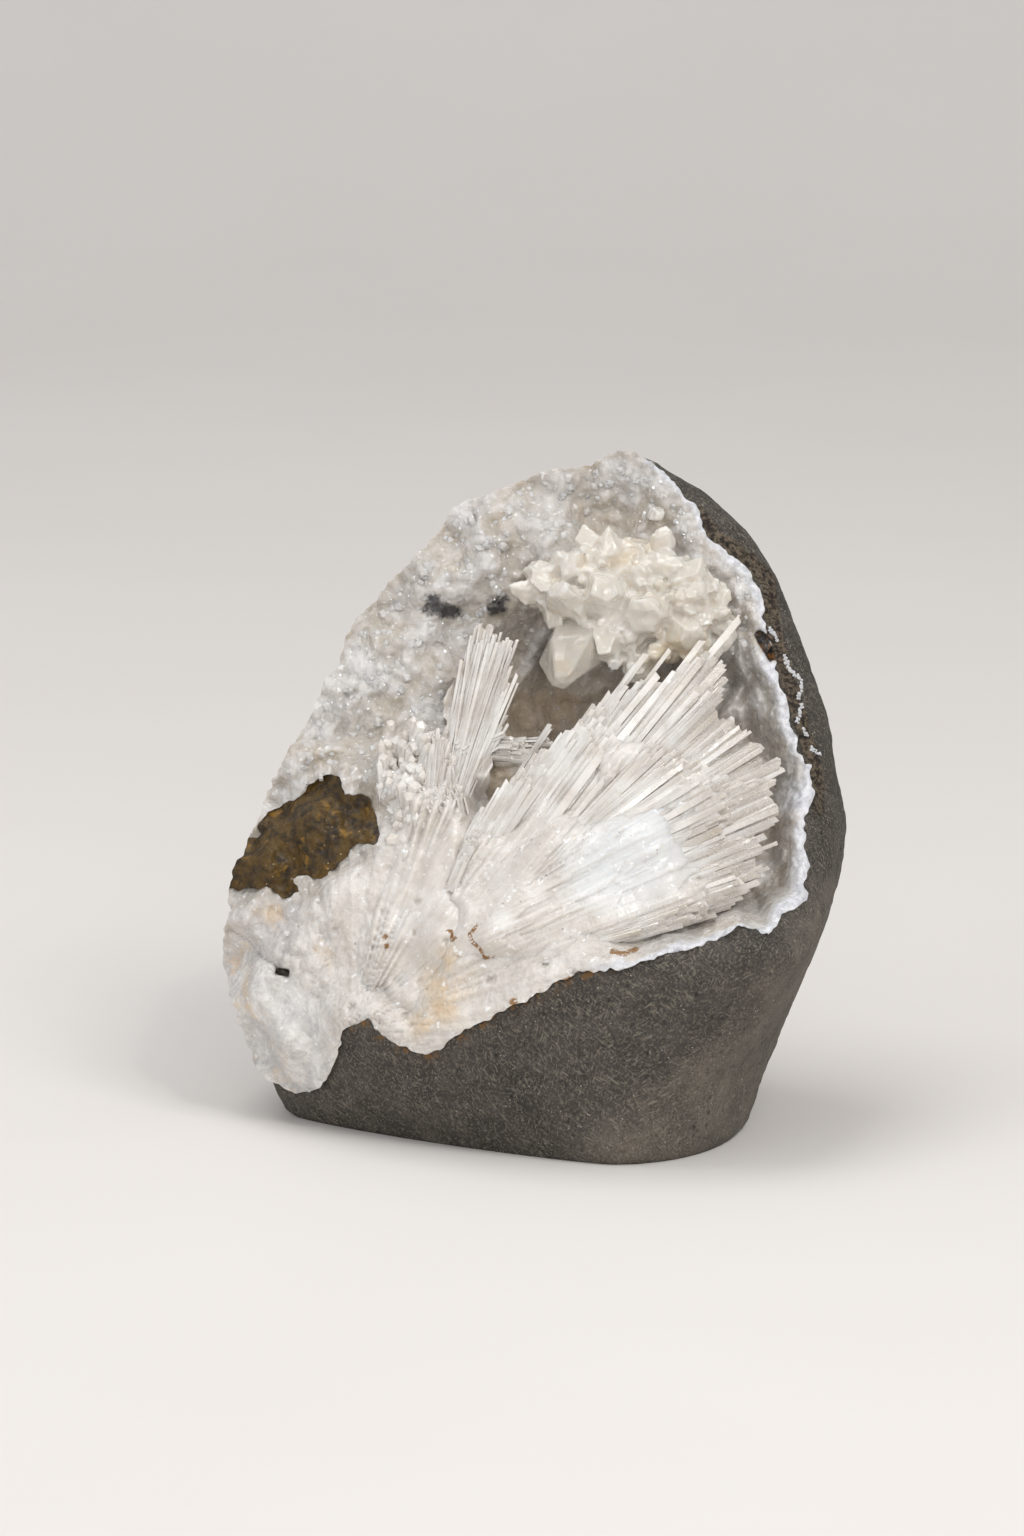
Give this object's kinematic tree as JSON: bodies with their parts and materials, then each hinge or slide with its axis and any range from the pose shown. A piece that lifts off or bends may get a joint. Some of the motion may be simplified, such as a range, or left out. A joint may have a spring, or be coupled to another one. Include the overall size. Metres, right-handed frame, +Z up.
{
  "type": "scolecite geode",
  "caption": "Standing half of a basalt geode with a quartz-lined hollow that holds a scolecite fan and cream blocky crystals.",
  "frame": {"origin": "on the surface that the stone stands on, under the middle of its bounding box", "axes": "+Z up from the flat base, -Y towards the open, crystal-lined front, +X to the right seen from the front; the stone's shortest extent is front to back along Y"},
  "size_m": [0.106, 0.0832, 0.1097],
  "materials": {
    "basalt": "fine-grained grey-brown basalt, dull, with saw scratches and small open gas bubbles",
    "quartz": "white to grey translucent quartz and chalcedony, glassy on the small crystal faces and waxy on the rim",
    "scolecite": "white scolecite, silky and milky at the root, glassy and see-through at the blade ends",
    "apophyllite": "cream translucent blocky crystals with a glassy to pearly gloss",
    "brown_mineral": "dark olive-brown with amber flecks, rough and resinous"
  },
  "bodies": {
    "root": {"basalt_matrix": "basalt", "quartz_crust": "quartz", "scolecite_spray": "scolecite", "apophyllite_cluster": "apophyllite", "brown_patch": "brown_mineral"}
  },
  "joints": []
}
